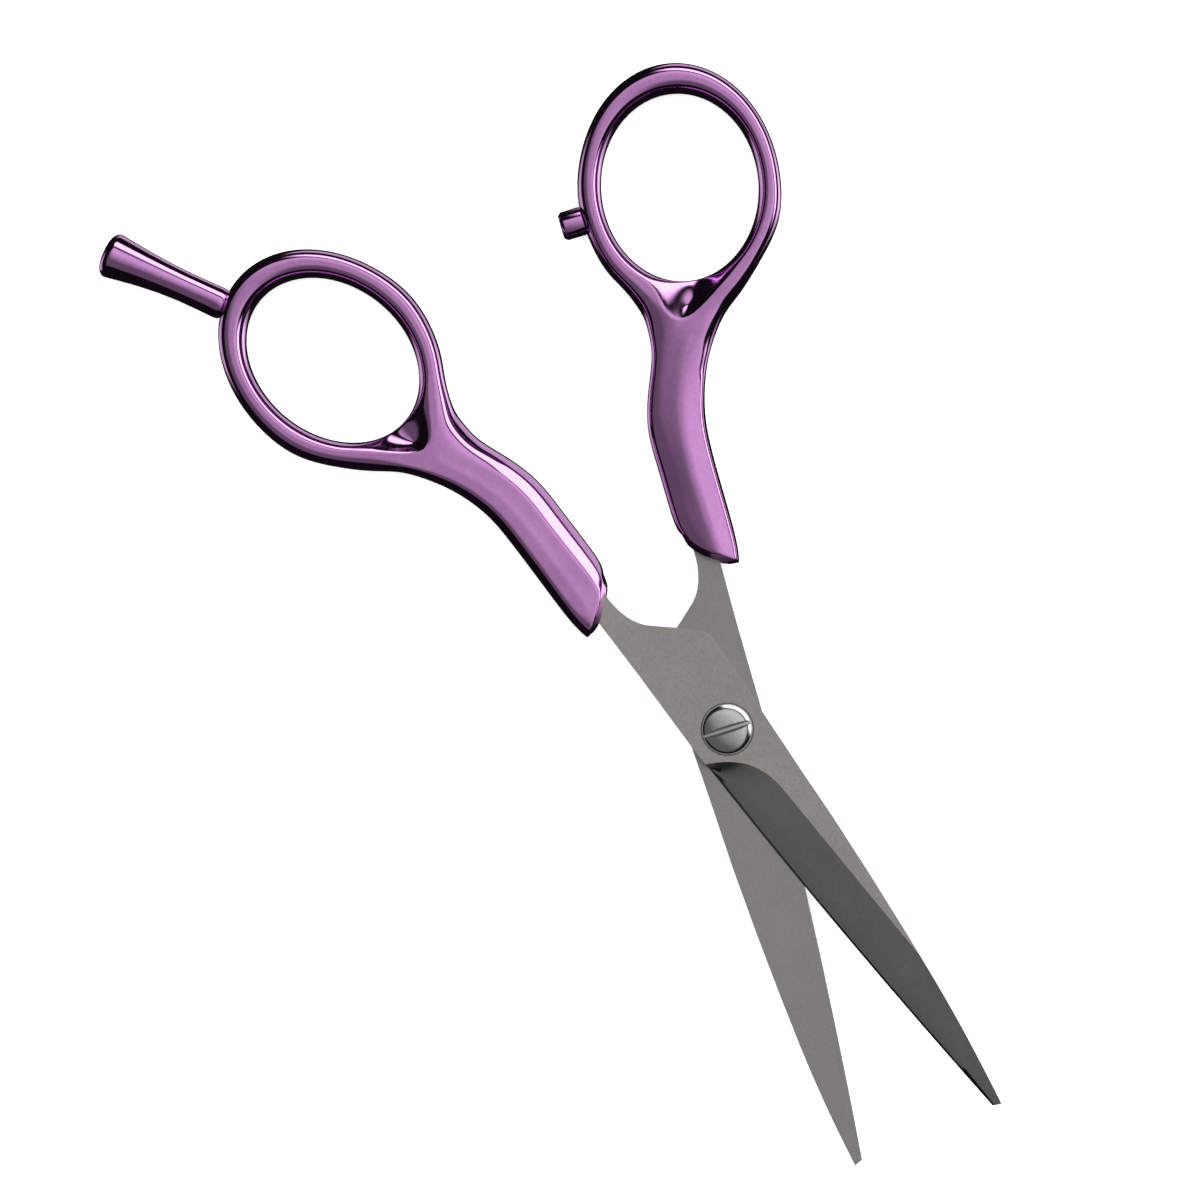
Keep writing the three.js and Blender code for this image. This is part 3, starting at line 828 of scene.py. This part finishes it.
def finger_rest():
    """A plated horn that flares to a domed end, with a small foot where it meets the ring."""
    profile = [(0, -0.75), (2.0, -0.75), (2.35, -0.1), (2.3, 3), (2.3, 6), (2.42, 9), (2.72, 12.3),
               (3.12, 15.4), (3.4, 17.3), (3.4, 17.75), (2.88, 18.42), (1.8, 18.85), (0, REST_LENGTH)]
    bm = turned(rounded(profile, 0.8, steps=5), steps=64)
    for vert in bm.verts:
        vert.co.y -= REST_BEND * (vert.co.z / REST_LENGTH) * (1 - vert.co.z / REST_LENGTH)
    piece = finish_piece("finger_rest_horn", bm, [PLATING], along_axis(REST_BASE, REST_ANGLE),
                         smooth_angle=60)
    stands_for(piece, "finger_rest", "screwed_rest")


def bumper():
    """The stub that stops the rings, with a chamfered end and a stem pushed into the ring."""
    profile = [(0, -3.3), (1.2, -3.3), (1.2, -1.5), (2.15, -1.5), (2.15, 1.4), (1.7, 1.9), (0, 1.9)]
    bm = turned(rounded(profile, 0.12), steps=64)
    lying = along_axis((0, BUMPER_Y, JOINT_Z), math.pi)
    piece = finish_piece("bumper_stub", bm, [PLATING], MOVING @ lying)
    stands_for(piece, "bumper", "moving_half")


# ---------------------------------------------------------------- carried-over nodes

def dress_cad_nodes():
    """The small inner pieces keep their shape and get the finish of what they are made of."""
    finishes = {"spring_washer": SPRING, "pivot_bush": NYLON, "finger_rest_stud": POLISHED,
                "finger_rest_insert": BRASS}
    for node, material in finishes.items():
        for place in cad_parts[node].material_slots:
            place.material = material


# ---------------------------------------------------------------- studio

IMAGE_UP = Vector((-0.584, -0.812, 0))
IMAGE_RIGHT = Vector((-0.812, 0.584, 0))
SOFTBOX_SIDE = IMAGE_UP + IMAGE_RIGHT
VIEW_CENTRE = Vector((4.10, -26.41, JOINT_Z)) * MM
VIEW_WIDTH = 0.1772
VIEW_TURN = math.radians(144.29)
FLOOR_HALF_WIDTH = 4000
FLOOR_GAP = 0.01  # keeps the paper's face clear of the handles' lowest faces


def camera():
    """Straight down from far off, turned so that the rings are at the viewer's upper left."""
    data = bpy.data.cameras.new("camera")
    data.sensor_width = 36
    data.lens = 200
    seen_from = bpy.data.objects.new("camera", data)
    distance = VIEW_WIDTH * data.lens / data.sensor_width
    seen_from.location = VIEW_CENTRE + Vector((0, 0, distance))
    seen_from.rotation_euler = (0, 0, VIEW_TURN)
    bpy.context.scene.collection.objects.link(seen_from)
    bpy.context.scene.camera = seen_from


def floor():
    bm = bmesh.new()
    bmesh.ops.create_grid(bm, x_segments=2, y_segments=2, size=FLOOR_HALF_WIDTH)
    bmesh.ops.translate(bm, vec=(0, 0, -FLOOR_GAP), verts=bm.verts)
    sheet = finish_piece("floor", bm, [floor_material()])
    sheet.visible_glossy = False


def aimed_light(name, direction, distance, size, power):
    """Lights the paper and the matt pieces; what the metal mirrors is in the studio sky."""
    data = bpy.data.lights.new(name, "AREA")
    data.shape = "RECTANGLE"
    data.size, data.size_y = size
    data.energy = power
    lamp = bpy.data.objects.new(name, data)
    direction = direction.normalized()
    lamp.location = direction * distance
    lamp.rotation_euler = (-direction).to_track_quat("-Z", "Y").to_euler()
    lamp.visible_glossy = False
    lamp.visible_camera = False
    bpy.context.scene.collection.objects.link(lamp)


def smooth_step(tree, value, start, end):
    """0 before start, 1 after end; start may lie above end."""
    return add_node(tree, "ShaderNodeMapRange", {"interpolation_type": "SMOOTHSTEP"},
                    {"Value": value, "From Min": start, "From Max": end}).outputs["Result"]


def overhead_panel(tree, height, to_softbox):
    """The soft panel overhead; towards the softbox it is brighter and ends higher up."""
    level = spread(tree, to_softbox, 0.16, 0.95, {"From Min": -0.32, "From Max": 0.36})
    reach = spread(tree, to_softbox, 0.26, 0.0, {"From Min": -0.4, "From Max": 0.3})
    covered = smooth_step(tree, combined(tree, "ADD", height, reach), 0.72, 0.82)
    return combined(tree, "MULTIPLY", covered, level)


def softbox_glow(tree, height, to_softbox):
    """The softbox, a broad patch between low and overhead on one side."""
    return combined(tree, "MULTIPLY", smooth_step(tree, height, 0.2, 0.3),
                    smooth_step(tree, height, 0.7, 0.6), smooth_step(tree, to_softbox, 0.42, 0.62), 2.6)


def low_strip(tree, height, to_softbox):
    """The paper that the softbox lights, which the handles' lower slopes mirror."""
    return combined(tree, "MULTIPLY", smooth_step(tree, height, -0.85, -0.75),
                    smooth_step(tree, height, -0.38, -0.48),
                    smooth_step(tree, to_softbox, 0.4, 0.5), 0.75)


def side_paper(tree, height, rightward, upward):
    """The pale paper low down to the left and right, out of the softbox's light."""
    sizes = [add_node(tree, "ShaderNodeMath", {"operation": "ABSOLUTE"}, {0: value}).outputs["Value"]
             for value in (rightward, upward)]
    aside = combined(tree, "SUBTRACT", *sizes)
    return combined(tree, "MULTIPLY", smooth_step(tree, height, -0.35, -0.5),
                    smooth_step(tree, aside, 0.35, 0.6), 0.75)


def studio_sky():
    """What the metal mirrors: a dark studio with its panel, its softbox and pale paper low down."""
    world = bpy.data.worlds.new("studio")
    bpy.context.scene.world = world
    world.use_nodes = True
    tree = world.node_tree
    tree.nodes.clear()
    direction = add_node(tree, "ShaderNodeTexCoord").outputs["Generated"]
    height = add_node(tree, "ShaderNodeSeparateXYZ", {}, {"Vector": direction}).outputs["Z"]
    to_softbox, rightward, upward = [
        add_node(tree, "ShaderNodeVectorMath", {"operation": "DOT_PRODUCT"},
                 {0: direction, 1: side.normalized()}).outputs["Value"]
        for side in (SOFTBOX_SIDE, IMAGE_RIGHT, IMAGE_UP)]
    dark_room = 0.008
    glow = combined(tree, "ADD", overhead_panel(tree, height, to_softbox),
                    softbox_glow(tree, height, to_softbox), low_strip(tree, height, to_softbox),
                    side_paper(tree, height, rightward, upward), dark_room)
    background = add_node(tree, "ShaderNodeBackground", {},
                          {"Strength": glow, "Color": (1.0, 0.99, 0.985, 1.0)})
    add_node(tree, "ShaderNodeOutputWorld", {}, {"Surface": background.outputs["Background"]})


def studio():
    studio_sky()
    aimed_light("softbox", SOFTBOX_SIDE + Vector((0, 0, 0.62)), 1.6, (1.9, 0.55), 26)
    aimed_light("floor_fill", Vector((0.2, -0.1, 1)), 2.5, (3.0, 3.0), 55)
    bpy.context.scene.view_settings.view_transform = "Standard"


# ---------------------------------------------------------------- making

camera()
handle("finger_handle_shell", FINGER_HANDLE, "finger_handle", "still_half", STILL)
handle("thumb_handle_shell", THUMB_HANDLE, "thumb_handle", "moving_half", MOVING)
blade("still_blade_steel", STILL_LENGTH, RECESS_RADIUS, RECESS_SIDES, "still_blade", "still_half",
      STILL)
blade("moving_blade_steel", MOVING_LENGTH, NUT_HOLE_RADIUS, NUT_SIDES, "moving_blade", "moving_half",
      MOVING)
tension_screw()
pivot_nut()
finger_rest()
bumper()
dress_cad_nodes()
floor()
studio()
